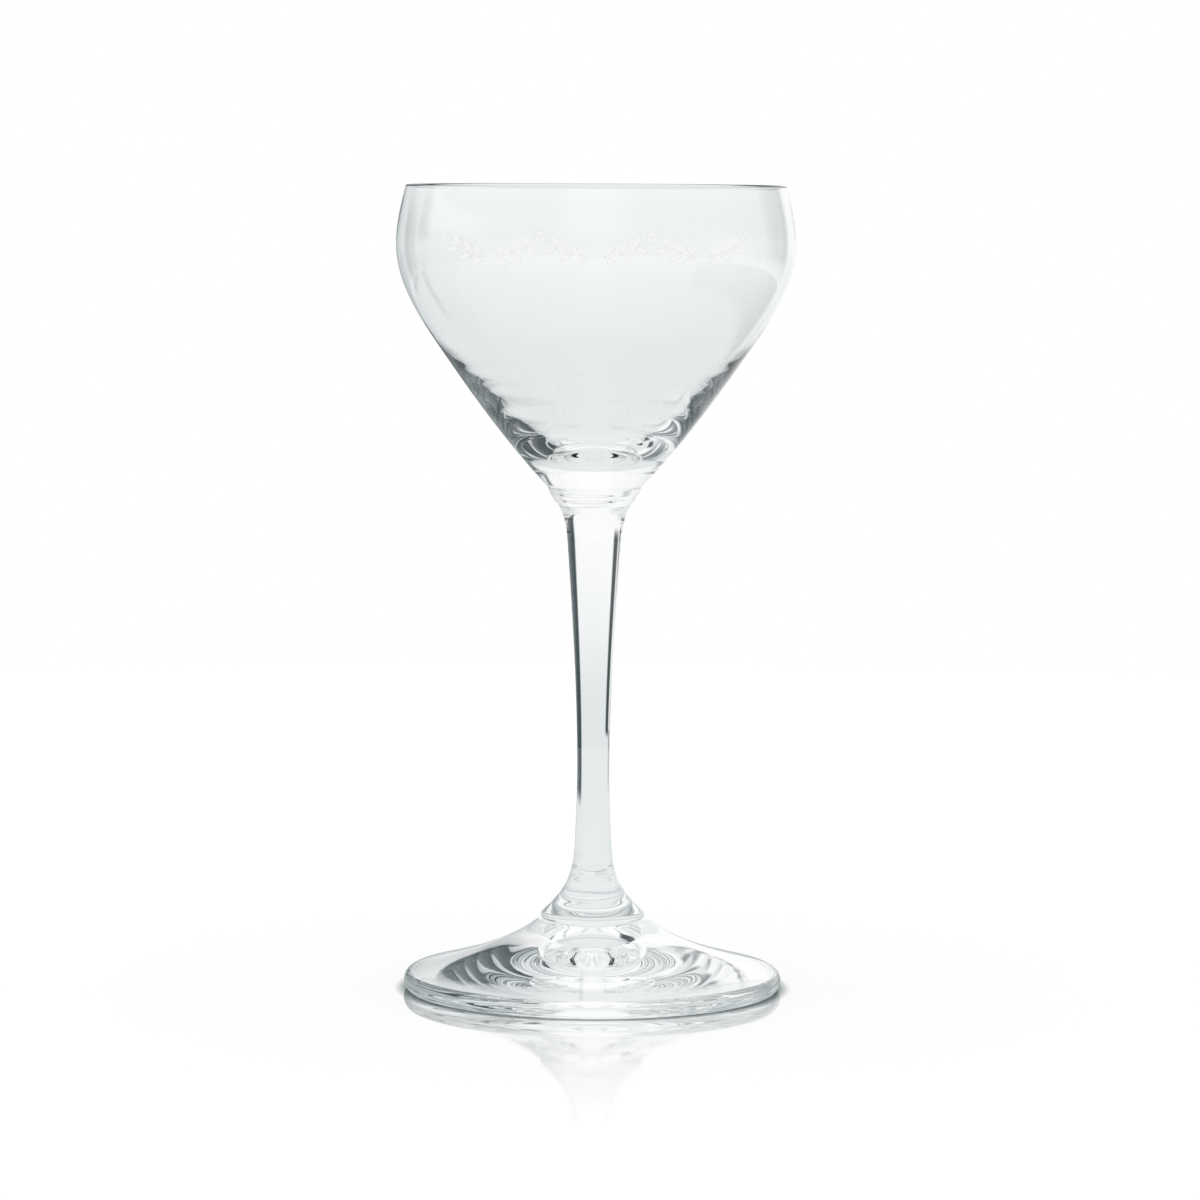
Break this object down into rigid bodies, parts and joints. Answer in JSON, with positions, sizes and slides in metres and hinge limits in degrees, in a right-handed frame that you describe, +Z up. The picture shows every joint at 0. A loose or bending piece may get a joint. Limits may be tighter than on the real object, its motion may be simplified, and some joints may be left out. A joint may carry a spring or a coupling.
{
  "type": "nick and nora glass",
  "caption": "Small stemmed cocktail glass with a deep tapered bowl, drawn-in rim, slim stem and wide flared foot.",
  "frame": {"origin": "centre of the ring that the foot stands on, at table height", "axes": "+Z up along the axis of the glass, -Y towards the viewer of the picture, +X to the viewer's right"},
  "size_m": [0.077, 0.0771, 0.156],
  "materials": {
    "clear_glass": "clear polished glass",
    "enamel": "thin fired enamel, matt"
  },
  "bodies": {
    "root": {"bowl": "clear_glass", "collar": "clear_glass", "stem": "clear_glass", "foot_boss": "clear_glass", "foot": "clear_glass", "garland": "enamel"}
  },
  "joints": []
}
